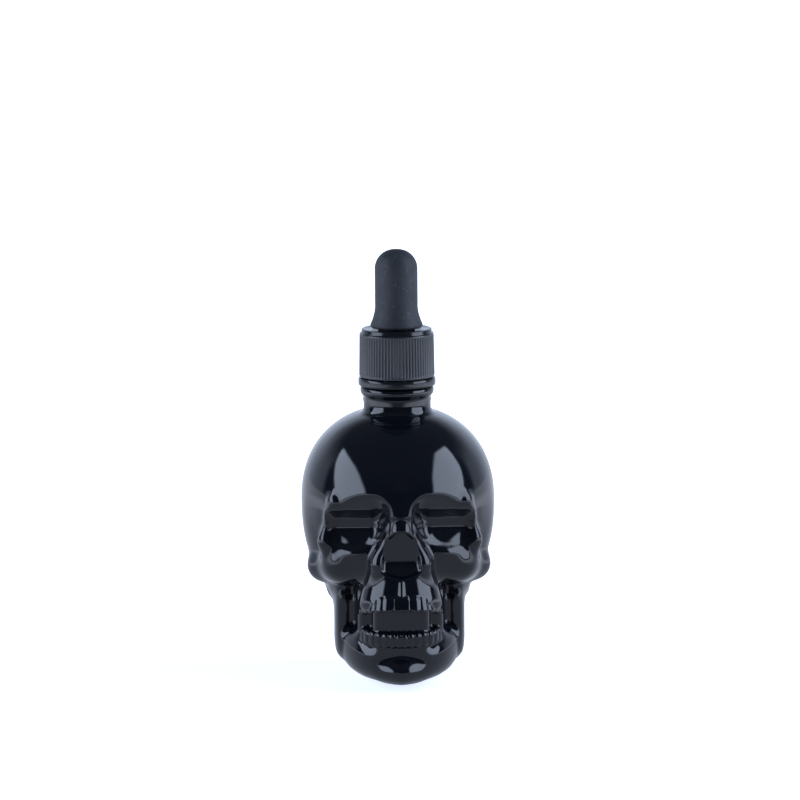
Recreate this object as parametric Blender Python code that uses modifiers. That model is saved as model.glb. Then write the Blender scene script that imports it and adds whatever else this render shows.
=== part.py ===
"""Skull-shaped dropper bottle for bitters.

A thick black glass skull with a round neck, a ribbed screw cap over the tamper ring that it broke away
from, a rubber bulb held under the cap, and a glass pipette held by the bulb. Metres, +Z up. The face looks
along -Y, and the origin is on the table, on the axis of the neck.
"""

import math

import bmesh
import bpy
import numpy as np

# Skull
SKULL_WIDTH = 0.0554
SKULL_DEPTH = 0.0680
SKULL_HEIGHT = 0.0770
GLASS_WALL = 0.0040
BASE_THICKNESS = 0.0055
SOCKET_WALL_LINE = 0.0125

# Neck finish. Heights are above the top of the skull
BORE_RADIUS = 0.0058
NECK_RADIUS = 0.0096
NECK_RISE = 0.0198
NECK_ROOT = 0.0045
COLLAR_RADIUS = 0.0101
COLLAR_HEIGHT = 0.0012
BEAD_RADIUS = 0.0105
BEAD_LIFT = 0.0038
BEAD_HEIGHT = 0.0028
FINISH_RADIUS = 0.0089
LIP_ROUNDING = 0.0006

# Screw cap, and the tamper ring that it broke away from
CAP_RADIUS = 0.0108
CAP_LIP_RADIUS = 0.0101
CAP_LIP_HEIGHT = 0.0011
CAP_TOP_THICKNESS = 0.0012
CAP_EDGE = 0.0003
RIB_COUNT = 72
RIB_DEPTH = 0.0003
RING_RADIUS = 0.01105
RING_HEIGHT = 0.0023
RING_TAPER = 0.0004
TEAR_GAP = 0.0003

# Rubber bulb
BULB_RADIUS = 0.00615
BULB_HEIGHT = 0.0224
BULB_WALL = 0.0015
BULB_FOOT_RADIUS = 0.0075
BULB_FLARE = 0.0062
BULB_WAIST_RADIUS = 0.0052
FLANGE_RADIUS = 0.0078
FLANGE_THICKNESS = 0.0016
SOCKET_DEPTH = 0.0070

# Glass pipette
PIPETTE_RADIUS = 0.0034
PIPETTE_BORE_RADIUS = 0.0024
PIPETTE_LENGTH = 0.0890
PIPETTE_HEAD = 0.0085
PIPETTE_TAPER = 0.0180
TIP_RADIUS = 0.0013
TIP_BORE_RADIUS = 0.0006

# Points of the foot this close to the table are taken to lie on it
FOOT_SNAP = 0.0003

# Gap between pieces that seat on each other, and the looser one round the threads
FIT_GAP = 0.0003
THREAD_CLEARANCE = 0.0004

# How finely the surfaces are facetted
SKULL_COLUMNS = 68
SKULL_ROWS = 68
CAVITY_COLUMNS = 28
CAVITY_ROWS = 22
NECK_SIDES = 40
BULB_SIDES = 32
PIPETTE_SIDES = 20

# The skull is drawn in millimetres at this size, and stretched to the sizes above
DRAWN_WIDTH = 55.4
DRAWN_DEPTH = 68.0
DRAWN_HEIGHT = 77.0

# Each piece of the closure is seated on the one below
BEAD_TOP = SKULL_HEIGHT + BEAD_LIFT + BEAD_HEIGHT
LIP_TOP = SKULL_HEIGHT + NECK_RISE
RING_BOTTOM = BEAD_TOP + FIT_GAP
CAP_BOTTOM = RING_BOTTOM + RING_HEIGHT + TEAR_GAP
FLANGE_BOTTOM = LIP_TOP + FIT_GAP
CAP_CEILING = FLANGE_BOTTOM + FLANGE_THICKNESS + FIT_GAP
CAP_TOP = CAP_CEILING + CAP_TOP_THICKNESS
BULB_FOOT = CAP_TOP + FIT_GAP
INNER_RADIUS = FINISH_RADIUS + THREAD_CLEARANCE


def smooth_join(first, second, blend):
    """Union of two distance fields with a fillet."""
    mix = np.clip(0.5 + 0.5 * (second - first) / blend, 0.0, 1.0)
    return second + (first - second) * mix - blend * mix * (1.0 - mix)


def smooth_cut(solid, hollow, blend):
    """Solid less hollow, with a rounded rim."""
    return -smooth_join(-solid, hollow, blend)


def smooth_meet(first, second, blend):
    """Intersection of two distance fields with a rounded edge."""
    return -smooth_join(-first, -second, blend)


def egg(x, y, z, centre, radii, plan=2.0, upright=2.0):
    """Superellipsoid: plan squares its outline from above, upright its outline from the side."""
    across = np.abs((x - centre[0]) / radii[0])
    along = np.abs((y - centre[1]) / radii[1])
    up = np.abs((z - centre[2]) / radii[2])
    flat = (across ** plan + along ** plan) ** (1.0 / plan)
    reach = (flat ** upright + up ** upright) ** (1.0 / upright)
    least = 1.0e-6
    reach = np.maximum(reach, least)
    flat = np.maximum(flat, least)
    slope_flat = (flat / reach) ** (upright - 1.0)
    slope_up = (up / reach) ** (upright - 1.0) / radii[2]
    slope_x = slope_flat * (across / flat) ** (plan - 1.0) / radii[0]
    slope_y = slope_flat * (along / flat) ** (plan - 1.0) / radii[1]
    slope = np.sqrt(slope_x ** 2 + slope_y ** 2 + slope_up ** 2)
    return (reach - 1.0) / np.maximum(slope, least)


def bar(x, y, z, start, end, start_radius, end_radius):
    """Tapered rod with round ends."""
    run = np.subtract(end, start)
    share = (x - start[0]) * run[0] + (y - start[1]) * run[1] + (z - start[2]) * run[2]
    share = np.clip(share / np.dot(run, run), 0.0, 1.0)
    away = np.sqrt((x - start[0] - share * run[0]) ** 2 + (y - start[1] - share * run[1]) ** 2
                   + (z - start[2] - share * run[2]) ** 2)
    return away - (start_radius + (end_radius - start_radius) * share)


def brain_case(side, y, z):
    upper = np.where(z > 51.0, 26.4, 32.0)
    narrowing = 1.0 - 0.12 * np.clip(-y / 32.0, 0.0, 1.0) ** 2
    across = side / narrowing
    stretched = 51.0 + (z - 51.0) * 30.0 / upper
    return egg(across, y, stretched, (0.0, 1.4, 51.0), (27.7, 32.6, 30.0), 2.15, 2.4)


def orbit(side, y, z):
    """Eye socket: a level groove with a hanging upper wall. Its outline narrows inwards."""
    depth = -y
    rise = np.clip((z - 45.6) / 12.8, 0.0, 2.0)
    upper_wall = (17.0 + 13.5 * rise ** 1.2 - depth) * 0.7
    lower_wall = (17.0 + 1.9 * (45.6 - z) - depth) / 2.15
    groove = smooth_meet(upper_wall, lower_wall, 0.4)
    nose_side = egg(side, y * 0.0, z, (14.0, 0.0, 49.6), (10.2, 1.0, 10.5), 2.3, 2.3)
    brow = (side - 8.5) * 0.457 + (z - 58.2) * 0.890
    corner = smooth_meet(side - 20.2, 40.7 - z, 4.0)
    outline = smooth_meet(smooth_meet(nose_side, corner, 1.5), brow, 2.5)
    outline = outline + 0.16 * np.clip(28.0 - depth, 0.0, 10.0)
    return smooth_meet(outline, groove, 1.6)


def nasal_opening(side, y, z):
    depth = -y
    above = np.clip((z - 38.0) / 9.2, 0.0, 2.0)
    below = np.clip((38.0 - z) / 5.2, 0.0, 2.0)
    half = 5.0 * (1.0 - above ** 2 - below ** 3)
    upper_wall = (21.5 + 1.0 * (z - 36.4) - depth) * 0.7
    lower_wall = (21.5 + 3.0 * (36.4 - z) - depth) * 0.32
    hollow = smooth_meet(upper_wall, lower_wall, 0.3)
    return smooth_meet((side - half) * 0.8, hollow, 1.0)


def tooth_arch(half_width, reach, front):
    """Points along one side of a tooth row, from the middle back, with their distance along it."""
    turn = np.linspace(0.0, math.pi / 2, 60)
    across = half_width * np.sin(turn) ** 0.9
    depth = front - reach + reach * np.cos(turn) ** 0.9
    step = np.hypot(np.diff(across), np.diff(depth))
    return across, depth, np.concatenate(([0.0], np.cumsum(step)))


def teeth(side, y, z, arch, widths, edge, slope, height, lean, thick):
    """One side of a tooth row. The edge is the height of the biting line at the front."""
    across, depth, along = arch
    row = np.full(np.shape(z), 99.0)
    place = 0.0
    for number, width in enumerate(widths):
        middle = place + width / 2
        place += width
        centre_x = np.interp(middle, along, across)
        centre_y = -np.interp(middle, along, depth)
        ahead_x = np.interp(middle + 0.3, along, across) - np.interp(middle - 0.3, along, across)
        ahead_y = -np.interp(middle + 0.3, along, depth) + np.interp(middle - 0.3, along, depth)
        length = math.hypot(ahead_x, ahead_y)
        ahead_x, ahead_y = ahead_x / length, ahead_y / length
        bite = edge - slope * (depth[0] + centre_y)
        centre_z = bite + lean * height / 2
        local_u = (side - centre_x) * ahead_x + (y - centre_y) * ahead_y
        local_v = (side - centre_x) * ahead_y - (y - centre_y) * ahead_x
        shape = egg(local_u, local_v, z, (0.0, 0.0, centre_z), (width * 0.5, thick, height / 2), 2.8, 3.2)
        row = np.minimum(row, shape)
    return row


def skull_form(x, y, z):
    """Distance to the skull's outer surface, in drawn millimetres. The two halves are alike."""
    side = np.sqrt(x * x + 0.02)
    form = brain_case(side, y, z)
    form = smooth_cut(form, egg(side, y, z, (36.0, -20.5, 47.0), (9.5, 13.0, 13.0)), 5.0)
    form = smooth_join(form, egg(x, y, z, (0.0, 3.0, 15.5), (17.8, 22.0, 18.6), 2.3, 2.6), 9.0)
    form = smooth_join(form, egg(x, y, z, (0.0, -0.5, 39.5), (24.0, 28.0, 10.5), 2.5, 4.0), 4.0)
    form = smooth_join(form, bar(side, y, z, (18.8, 8.0, 30.0), (18.4, 5.0, 23.2), 4.6, 3.0), 2.0)
    form = smooth_join(form, bar(side, y, z, (5.0, -25.6, 56.6), (11.0, -25.2, 57.4), 4.4, 3.9), 7.0)
    form = smooth_join(form, bar(side, y, z, (11.0, -25.2, 57.4), (18.4, -19.7, 53.2), 3.9, 2.6), 5.0)
    form = smooth_join(form, bar(side, y, z, (18.8, -19.8, 53.0), (20.9, -15.4, 38.0), 1.7, 2.4), 2.5)
    form = smooth_cut(form, egg(side, y, z, (15.0, -22.0, 20.0), (9.0, 11.0, 11.0), 2.6, 3.4), 1.0)
    maxilla = egg(x, y, z - 0.24 * (y + 32.0), (0.0, -16.0, 33.0), (11.0, 16.0, 7.0), 2.3, 4.0)
    form = smooth_join(form, maxilla, 3.0)
    form = smooth_join(form, egg(x, y, z, (0.0, -21.0, 44.0), (6.2, 11.0, 9.5)), 3.0)
    form = smooth_join(form, egg(side, y, z, (16.0, -18.0, 36.0), (6.0, 6.6, 5.6), 2.2, 2.4), 4.0)
    form = smooth_cut(form, orbit(side, y, z), 0.7)
    form = smooth_join(form, bar(x, y, z, (0.0, -29.2, 54.5), (0.0, -31.9, 47.4), 1.3, 1.5), 1.2)
    form = smooth_join(form, bar(side, y, z, (1.0, -31.2, 48.0), (5.8, -28.4, 38.0), 1.2, 2.0), 2.4)
    form = smooth_cut(form, nasal_opening(side, y, z), 0.5)
    form = smooth_join(form, bar(x, y, z, (0.0, -31.0, 31.0), (0.0, -30.2, 35.0), 1.0, 0.6), 1.2)
    form = smooth_join(form, bar(side, y, z, (18.5, -15.0, 34.6), (22.9, -7.0, 33.3), 3.8, 3.0), 4.0)
    form = smooth_join(form, bar(side, y, z, (22.9, -7.0, 33.3), (22.6, 9.0, 34.0), 3.0, 1.6), 3.5)
    form = smooth_join(form, egg(side, y, z, (0.0, -4.0, 20.0), (7.8, 18.0, 14.0), 5.0, 6.0), 0.8)
    form = smooth_join(form, egg(side, y, z, (16.0, -4.6, 19.0), (2.7, 8.4, 12.5), 2.6, 4.0), 1.0)
    jaw = egg(x, y, z + 0.15 * (-32.0 - y), (0.0, 0.0, 8.4), (17.6, 32.2, 6.2), 2.1, 2.6)
    form = smooth_join(form, smooth_meet(jaw, y - 1.0, 5.0), 2.0)
    form = smooth_join(form, egg(x, y, z, (0.0, -25.6, 8.0), (9.0, 8.0, 6.0), 2.2, 2.2), 4.0)
    form = smooth_join(form, egg(x, y, z, (0.0, -16.0, 12.5), (11.4, 15.0, 4.4), 2.3, 4.0), 3.0)
    upper = teeth(side, y, z, tooth_arch(11.0, 15.5, 31.5), (2.3, 2.9, 2.7, 2.7, 2.7, 2.8, 2.8),
                  24.6, 0.24, 4.6, 1.0, 1.35)
    form = smooth_join(form, upper, 0.3)
    lower = teeth(side, y, z, tooth_arch(11.2, 14.5, 30.3), (1.6, 1.8, 2.0, 2.2, 2.3, 2.6, 2.6),
                  18.3, 0.0, 4.0, -1.0, 1.25)
    form = smooth_join(form, lower, 0.3)
    return form


def stretch():
    """Metres for each drawn millimetre, across, along and up."""
    return np.array((SKULL_WIDTH / DRAWN_WIDTH, SKULL_DEPTH / DRAWN_DEPTH, SKULL_HEIGHT / DRAWN_HEIGHT))


def cavity_form(x, y, z):
    """Distance to the inside of the glass, in drawn millimetres. It stays behind the eye sockets."""
    millimetre = stretch()
    inside = skull_form(x, y, z) + GLASS_WALL / millimetre.min()
    forehead = np.clip((z - 55.0) / 9.0, 0.0, 1.0) * 15.0
    inside = smooth_meet(inside, -y - SOCKET_WALL_LINE / millimetre[1] - forehead, 3.0)
    return smooth_meet(inside, BASE_THICKNESS / millimetre[2] - z, 2.0)


def wrapped(name, form, columns, rows, low, high, crowding):
    """A sphere whose points are drawn in along rays until they meet a form.

    The rays leave the axis of the neck: level between low and high, fanned out above and below. Columns
    crowd towards the face.
    """
    mesh = bpy.data.meshes.new(name)
    ball = bmesh.new()
    bmesh.ops.create_uvsphere(ball, u_segments=columns, v_segments=rows, radius=1.0)
    ball.to_mesh(mesh)
    ball.free()
    count = len(mesh.vertices)
    spots = np.empty(count * 3)
    mesh.vertices.foreach_get("co", spots)
    spots = spots.reshape(count, 3)

    fan = 0.13
    share = np.arccos(np.clip(spots[:, 2], -1.0, 1.0)) / math.pi
    turn = np.arctan2(spots[:, 0], -spots[:, 1])
    turn -= crowding * np.sin(turn)
    up = 1.0 - np.clip(share / fan, 0.0, 1.0)
    down = np.clip((share - 1.0 + fan) / fan, 0.0, 1.0)
    level = np.clip((share - fan) / (1.0 - 2.0 * fan), 0.0, 1.0)
    climb = (up - down) * math.pi / 2
    start = high + (low - high) * level
    aim = (np.cos(climb) * np.sin(turn), -np.cos(climb) * np.cos(turn), np.sin(climb))

    def gap_at(reach):
        return form(aim[0] * reach, aim[1] * reach, start + aim[2] * reach)

    clear = np.full(count, 48.0)
    met = clear.copy()
    outside = np.ones(count, dtype=bool)
    for _ in range(150):
        gap = gap_at(met)
        outside &= gap > 0.0
        clear = np.where(outside, met, clear)
        met = np.where(outside, met - np.clip(gap * 0.5, 0.06, 4.0), met)
    for _ in range(12):
        middle = (clear + met) / 2
        inside = gap_at(middle) < 0.0
        met = np.where(inside, middle, met)
        clear = np.where(inside, clear, middle)

    place = np.stack((aim[0] * met, aim[1] * met, start + aim[2] * met), axis=1) * stretch()
    mesh.vertices.foreach_set("co", place.ravel())
    mesh.update()
    return bpy.data.objects.new(name, mesh)


def turned(name, profile, sides, closed=False):
    """A profile of (radius, height) points, outer side first and downwards, turned about the neck's axis."""
    mesh = bpy.data.meshes.new(name)
    outline = bmesh.new()
    points = [outline.verts.new((radius, 0.0, height)) for radius, height in profile]
    for first, second in zip(points, points[1:]):
        outline.edges.new((first, second))
    if closed:
        outline.edges.new((points[-1], points[0]))
    outline.to_mesh(mesh)
    outline.free()
    piece = bpy.data.objects.new(name, mesh)
    screw = piece.modifiers.new("turn", "SCREW")
    screw.steps = sides
    screw.render_steps = sides
    screw.use_merge_vertices = True
    screw.merge_threshold = 0.00001
    return piece


def arc(centre_radius, centre_height, radius, start, end, count):
    """Points of a profile round a corner, between two angles in degrees above level."""
    angles = [math.radians(start + (end - start) * step / (count - 1)) for step in range(count)]
    return [(centre_radius + radius * math.cos(angle), centre_height + radius * math.sin(angle))
            for angle in angles]


def finish_of(name, colour, roughness):
    finish = bpy.data.materials.new(name)
    finish.use_nodes = True
    shader = finish.node_tree.nodes["Principled BSDF"]
    shader.inputs["Base Color"].default_value = (*colour, 1.0)
    shader.inputs["Roughness"].default_value = roughness
    shader.inputs["Metallic"].default_value = 0.0
    finish.diffuse_color = (*colour, 1.0)
    return finish


def place_piece(piece, folder, finish):
    folder.objects.link(piece)
    piece.data.materials.append(finish)
    return piece


def combine(piece, other, operation, folder):
    """Join or cut a piece with another shape, which stays in the folder of cutters."""
    folder.objects.link(other)
    other.hide_render = True
    other.display_type = "WIRE"
    step = piece.modifiers.new(other.name, "BOOLEAN")
    step.operation = operation
    step.solver = "EXACT"
    step.object = other


def drill(name, radius, bottom, top, sides):
    return turned(name, [(0.0, top), (radius, top), (radius, bottom), (0.0, bottom)], sides)


def grind_foot(piece):
    """Cut the piece off flat at the table and close the cut."""
    glass = bmesh.new()
    glass.from_mesh(piece.data)
    for point in glass.verts:
        if abs(point.co.z) < FOOT_SNAP:
            point.co.z = 0.0
    everything = glass.verts[:] + glass.edges[:] + glass.faces[:]
    bmesh.ops.bisect_plane(glass, geom=everything, dist=FOOT_SNAP / 100, plane_co=(0.0, 0.0, 0.0),
                           plane_no=(0.0, 0.0, 1.0), clear_inner=True)
    rim = [edge for edge in glass.edges if edge.is_boundary]
    bmesh.ops.contextual_create(glass, geom=rim)
    glass.to_mesh(piece.data)
    glass.free()


def make_bottle(folder, cutters):
    bottle = wrapped("bottle", skull_form, SKULL_COLUMNS, SKULL_ROWS, 9.0, 60.0, 0.55)
    grind_foot(bottle)
    place_piece(bottle, folder, finish_of("black_glass", (0.010, 0.011, 0.014), 0.12))

    soft = LIP_ROUNDING
    bead_bottom = BEAD_TOP - BEAD_HEIGHT
    collar_top = SKULL_HEIGHT + COLLAR_HEIGHT
    root = SKULL_HEIGHT - NECK_ROOT
    profile = [(0.0, LIP_TOP)]
    profile += arc(FINISH_RADIUS - soft, LIP_TOP - soft, soft, 90, 0, 4)
    profile += [(FINISH_RADIUS, BEAD_TOP)]
    profile += arc(BEAD_RADIUS - soft, BEAD_TOP - soft, soft, 90, 0, 3)
    profile += [(BEAD_RADIUS, bead_bottom + BEAD_HEIGHT / 2), (NECK_RADIUS, bead_bottom)]
    profile += [(NECK_RADIUS, collar_top + COLLAR_HEIGHT), (COLLAR_RADIUS, collar_top)]
    profile += [(COLLAR_RADIUS, SKULL_HEIGHT), (NECK_RADIUS, SKULL_HEIGHT), (NECK_RADIUS, root), (0.0, root)]
    combine(bottle, turned("neck_finish", profile, NECK_SIDES), "UNION", cutters)

    cavity = wrapped("cavity", cavity_form, CAVITY_COLUMNS, CAVITY_ROWS, 14.0, 58.0, 0.15)
    combine(bottle, cavity, "DIFFERENCE", cutters)
    shoulder = SKULL_HEIGHT - GLASS_WALL - 2 * NECK_ROOT
    combine(bottle, drill("bore", BORE_RADIUS, shoulder, LIP_TOP + NECK_ROOT, NECK_SIDES), "DIFFERENCE", cutters)


def make_tamper_ring(folder):
    top = RING_BOTTOM + RING_HEIGHT
    outer = RING_RADIUS
    profile = [(outer - RING_TAPER, top), (outer, top - RING_TAPER), (outer, RING_BOTTOM + RING_TAPER),
               (outer - RING_TAPER, RING_BOTTOM), (INNER_RADIUS, RING_BOTTOM), (INNER_RADIUS, top)]
    ring = turned("tamper_ring", profile, NECK_SIDES, closed=True)
    place_piece(ring, folder, finish_of("band_plastic", (0.012, 0.012, 0.014), 0.30))


def make_cap(folder, cutters):
    shoulder = CAP_TOP - CAP_LIP_HEIGHT
    profile = [(0.0, CAP_TOP), (CAP_LIP_RADIUS - CAP_EDGE, CAP_TOP), (CAP_LIP_RADIUS, CAP_TOP - CAP_EDGE),
               (CAP_LIP_RADIUS, shoulder), (CAP_RADIUS - CAP_EDGE, shoulder), (CAP_RADIUS, shoulder - CAP_EDGE),
               (CAP_RADIUS, CAP_BOTTOM + CAP_EDGE), (CAP_RADIUS - CAP_EDGE, CAP_BOTTOM), (0.0, CAP_BOTTOM)]
    blank = turned("cap_blank", profile, 2 * RIB_COUNT)
    folder.objects.link(blank)
    bpy.context.view_layer.update()
    blank_mesh = bpy.data.meshes.new_from_object(blank.evaluated_get(bpy.context.evaluated_depsgraph_get()))
    bpy.data.objects.remove(blank)
    rib_turn = math.pi / RIB_COUNT
    for vertex in blank_mesh.vertices:
        radius = math.hypot(vertex.co.x, vertex.co.y)
        column = round(math.atan2(vertex.co.y, vertex.co.x) / rib_turn)
        if column % 2 and radius > CAP_RADIUS - 2 * CAP_EDGE:
            pull = 1.0 - RIB_DEPTH / radius
            vertex.co.x *= pull
            vertex.co.y *= pull
    cap = bpy.data.objects.new("cap", blank_mesh)
    place_piece(cap, folder, finish_of("cap_plastic", (0.014, 0.014, 0.016), 0.45))
    below = CAP_BOTTOM - CAP_TOP_THICKNESS
    above = CAP_TOP + CAP_TOP_THICKNESS
    combine(cap, drill("cap_bore", INNER_RADIUS, below, CAP_CEILING, NECK_SIDES), "DIFFERENCE", cutters)
    hole = BULB_WAIST_RADIUS + FIT_GAP
    combine(cap, drill("cap_hole", hole, below, above, BULB_SIDES), "DIFFERENCE", cutters)


def make_bulb(folder):
    top = BULB_FOOT + BULB_HEIGHT
    dome_base = top - BULB_RADIUS
    flare_top = BULB_FOOT + BULB_FLARE
    foot_edge = BULB_FLARE / 8
    flange_top = FLANGE_BOTTOM + FLANGE_THICKNESS
    socket = PIPETTE_RADIUS + FIT_GAP
    socket_top = FLANGE_BOTTOM + SOCKET_DEPTH
    inner = BULB_RADIUS - BULB_WALL

    profile = arc(0.0, dome_base, BULB_RADIUS, 90, 0, 8)
    steps = 6
    for step in range(steps + 1):
        share = step / steps
        height = flare_top + (BULB_FOOT + foot_edge - flare_top) * share
        profile.append((BULB_RADIUS + (BULB_FOOT_RADIUS - BULB_RADIUS) * share ** 1.8, height))
    profile += [(BULB_FOOT_RADIUS - foot_edge, BULB_FOOT), (BULB_WAIST_RADIUS, BULB_FOOT)]
    profile += [(BULB_WAIST_RADIUS, flange_top), (FLANGE_RADIUS, flange_top), (FLANGE_RADIUS, FLANGE_BOTTOM)]
    profile += [(socket, FLANGE_BOTTOM), (socket, socket_top), (inner, socket_top + inner - socket)]
    profile += arc(0.0, dome_base, inner, 0, 90, 6)
    profile[0] = (0.0, top)
    profile[-1] = (0.0, dome_base + inner)
    place_piece(turned("bulb", profile, BULB_SIDES), folder, finish_of("bulb_rubber", (0.016, 0.016, 0.018), 0.75))


def make_pipette(folder):
    top = LIP_TOP + PIPETTE_HEAD
    tip = top - PIPETTE_LENGTH
    taper = tip + PIPETTE_TAPER
    profile = [(PIPETTE_RADIUS, top), (PIPETTE_RADIUS, taper), (TIP_RADIUS, tip), (TIP_BORE_RADIUS, tip),
               (PIPETTE_BORE_RADIUS, taper), (PIPETTE_BORE_RADIUS, top)]
    pipette = turned("pipette", profile, PIPETTE_SIDES, closed=True)
    place_piece(pipette, folder, finish_of("clear_glass", (0.80, 0.84, 0.84), 0.05))


for item in list(bpy.data.objects):
    bpy.data.objects.remove(item)
pieces = bpy.data.collections.new("skull_bitters_bottle")
shapers = bpy.data.collections.new("cutters")
bpy.context.scene.collection.children.link(pieces)
bpy.context.scene.collection.children.link(shapers)
make_bottle(pieces, shapers)
make_tamper_ring(pieces)
make_cap(pieces, shapers)
make_bulb(pieces)
make_pipette(pieces)
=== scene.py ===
"""Looks of the skull bitters bottle: black glass, ribbed dropper cap, rubber bulb and glass pipette."""
import math

import bpy
import numpy as np
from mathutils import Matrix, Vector


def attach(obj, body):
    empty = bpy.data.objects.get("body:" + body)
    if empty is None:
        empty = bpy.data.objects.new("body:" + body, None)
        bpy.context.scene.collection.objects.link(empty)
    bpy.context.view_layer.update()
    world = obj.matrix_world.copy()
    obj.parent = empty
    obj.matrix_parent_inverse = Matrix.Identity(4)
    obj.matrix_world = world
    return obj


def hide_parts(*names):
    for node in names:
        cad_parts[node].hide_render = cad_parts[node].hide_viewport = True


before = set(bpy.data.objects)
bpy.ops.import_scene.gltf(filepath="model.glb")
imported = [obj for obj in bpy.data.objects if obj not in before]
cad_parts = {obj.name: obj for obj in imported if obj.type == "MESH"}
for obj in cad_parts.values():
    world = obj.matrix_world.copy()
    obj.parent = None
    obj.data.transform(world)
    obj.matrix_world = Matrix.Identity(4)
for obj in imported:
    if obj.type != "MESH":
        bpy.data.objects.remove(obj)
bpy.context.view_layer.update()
bpy.ops.object.select_all(action="DESELECT")


# Studio: a pale table that runs on behind into a white wall, a tall soft box on either side, and a dark
# room in front, behind the camera. The camera stands 1.2 m off and looks 9 degrees down.
CAMERA_DISTANCE = 1.2
CAMERA_PITCH = math.radians(9.0)
CAMERA_TURN = math.radians(-1.5)
CAMERA_ROLL = math.radians(0.46)
CAMERA_FAR_LIMIT = 20.0
AIM_HEIGHT = 0.0794
PICTURE_WIDTH = 0.2288
PICTURE_SHIFT = 0.0036
SENSOR_WIDTH = 36.0

camera_reach = CAMERA_DISTANCE * math.cos(CAMERA_PITCH)
bpy.ops.object.camera_add(
    location=(camera_reach * math.sin(CAMERA_TURN), -camera_reach * math.cos(CAMERA_TURN),
              AIM_HEIGHT + CAMERA_DISTANCE * math.sin(CAMERA_PITCH)),
    rotation=(math.pi / 2 - CAMERA_PITCH, 0.0, CAMERA_TURN))
camera = bpy.context.object
camera.name = "camera"
camera.rotation_euler.rotate_axis("Z", -CAMERA_ROLL)
camera.data.sensor_width = SENSOR_WIDTH
camera.data.lens = SENSOR_WIDTH * CAMERA_DISTANCE / PICTURE_WIDTH
camera.data.shift_x = PICTURE_SHIFT
camera.data.clip_end = CAMERA_FAR_LIMIT
bpy.context.scene.camera = camera
bpy.context.scene.view_settings.view_transform = "Standard"


def linear(code):
    """Linear red, green and blue of an sRGB hex colour, with full cover."""
    shares = [int(code[place:place + 2], 16) / 255 for place in (1, 3, 5)]
    levels = [share / 12.92 if share <= 0.04045 else ((share + 0.055) / 1.055) ** 2.4 for share in shares]
    return (*levels, 1.0)


def bare_tree(owner):
    """The emptied node tree of a new material or world."""
    owner.use_nodes = True
    owner.node_tree.nodes.clear()
    return owner.node_tree


def add_node(tree, kind, settings=(), links=()):
    """A node with its options and sockets set, and with sockets fed by other nodes' outputs."""
    node = tree.nodes.new(kind)
    for name, value in dict(settings).items():
        if isinstance(name, str) and hasattr(node, name):
            setattr(node, name, value)
        else:
            node.inputs[name].default_value = value
    for name, source in dict(links).items():
        tree.links.new(source, node.inputs[name])
    return node


def reckon(tree, operation, *terms):
    """Sum, product or the like of terms, each a number or another node's output."""
    node = add_node(tree, "ShaderNodeMath", {"operation": operation})
    for place, term in enumerate(terms):
        if isinstance(term, float):
            node.inputs[place].default_value = term
        else:
            tree.links.new(term, node.inputs[place])
    return node.outputs[0]


def ramp(tree, source, run, smooth=False):
    """Takes a source over a run, which is its start, its end, and the value at each of them."""
    settings = dict(zip(("From Min", "From Max", "To Min", "To Max"), run))
    if smooth:
        settings["interpolation_type"] = "SMOOTHSTEP"
    return add_node(tree, "ShaderNodeMapRange", settings, {0: source}).outputs[0]


def mix_colours(tree, share, first, second):
    """From the first colour to the second with the share. Each is a hex colour or a node's output."""
    node = add_node(tree, "ShaderNodeMix", {"data_type": "RGBA"}, {0: share})
    for place, colour in ((6, first), (7, second)):
        if isinstance(colour, str):
            node.inputs[place].default_value = linear(colour)
        else:
            tree.links.new(colour, node.inputs[place])
    return node.outputs[2]


def looked_at(tree):
    """1 for what the camera sees, straight or through clear glass, and 0 for light and gloss."""
    seen = add_node(tree, "ShaderNodeLightPath")
    return reckon(tree, "MAXIMUM", seen.outputs["Is Camera Ray"], seen.outputs["Is Transmission Ray"])


# The table is white melamine with a low sheen. It keeps the shadow. To gloss and light it shows a painted
# glow instead of its paint:
# painted light, pale behind and bright in the spill of each soft box, and painted shade, dim in front of the
# bottle, where no lamp reaches it. A run of light gives the distance at which it starts and ends, in metres,
# and the level at either end.
TABLE_SIZE = 6.0
TABLE_COLOUR = "#f2f2f2"
TABLE_ROUGHNESS = 0.7
TABLE_GLOW = "#e2ebff"
GLOW_RUN = (-0.05, 0.35, 0.95, 1.25)
FRONT_RUN = (0.16, 0.42, 0.6, 0.24)
SPILL_RUN = (0.12, 0.38, 0.0, 2.1)
FADING_RUN = (0.65, 1.1, 1.0, 0.0)
BEHIND_RUN = (0.0, 0.35, 0.0, 1.0)
FAR_LEVEL = 0.05
BEHIND_LEVEL = 1.05

bpy.ops.mesh.primitive_plane_add(size=TABLE_SIZE, location=(0.0, 0.0, 0.0))
table = bpy.context.object
table.name = "table"
melamine = bpy.data.materials.new("white_melamine_table")
tree = bare_tree(melamine)
spot = add_node(tree, "ShaderNodeTexCoord").outputs["Object"]
reach = add_node(tree, "ShaderNodeSeparateXYZ", links={0: spot})
away = add_node(tree, "ShaderNodeVectorMath", {"operation": "LENGTH"}, {0: spot}).outputs["Value"]
aside = reckon(tree, "ABSOLUTE", reach.outputs["X"])

lit = ramp(tree, reach.outputs["Y"], GLOW_RUN, smooth=True)
paint = add_node(tree, "ShaderNodeBsdfPrincipled",
                 {"Base Color": linear(TABLE_COLOUR), "Roughness": TABLE_ROUGHNESS})
glow = add_node(tree, "ShaderNodeEmission", {"Color": linear(TABLE_GLOW)}, {"Strength": lit})
both = add_node(tree, "ShaderNodeAddShader", links={0: paint.outputs[0], 1: glow.outputs[0]})

# Painted light and shade for gloss and light: each soft box's spill, the dim front, the fade far off and the
# pale part behind
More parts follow.
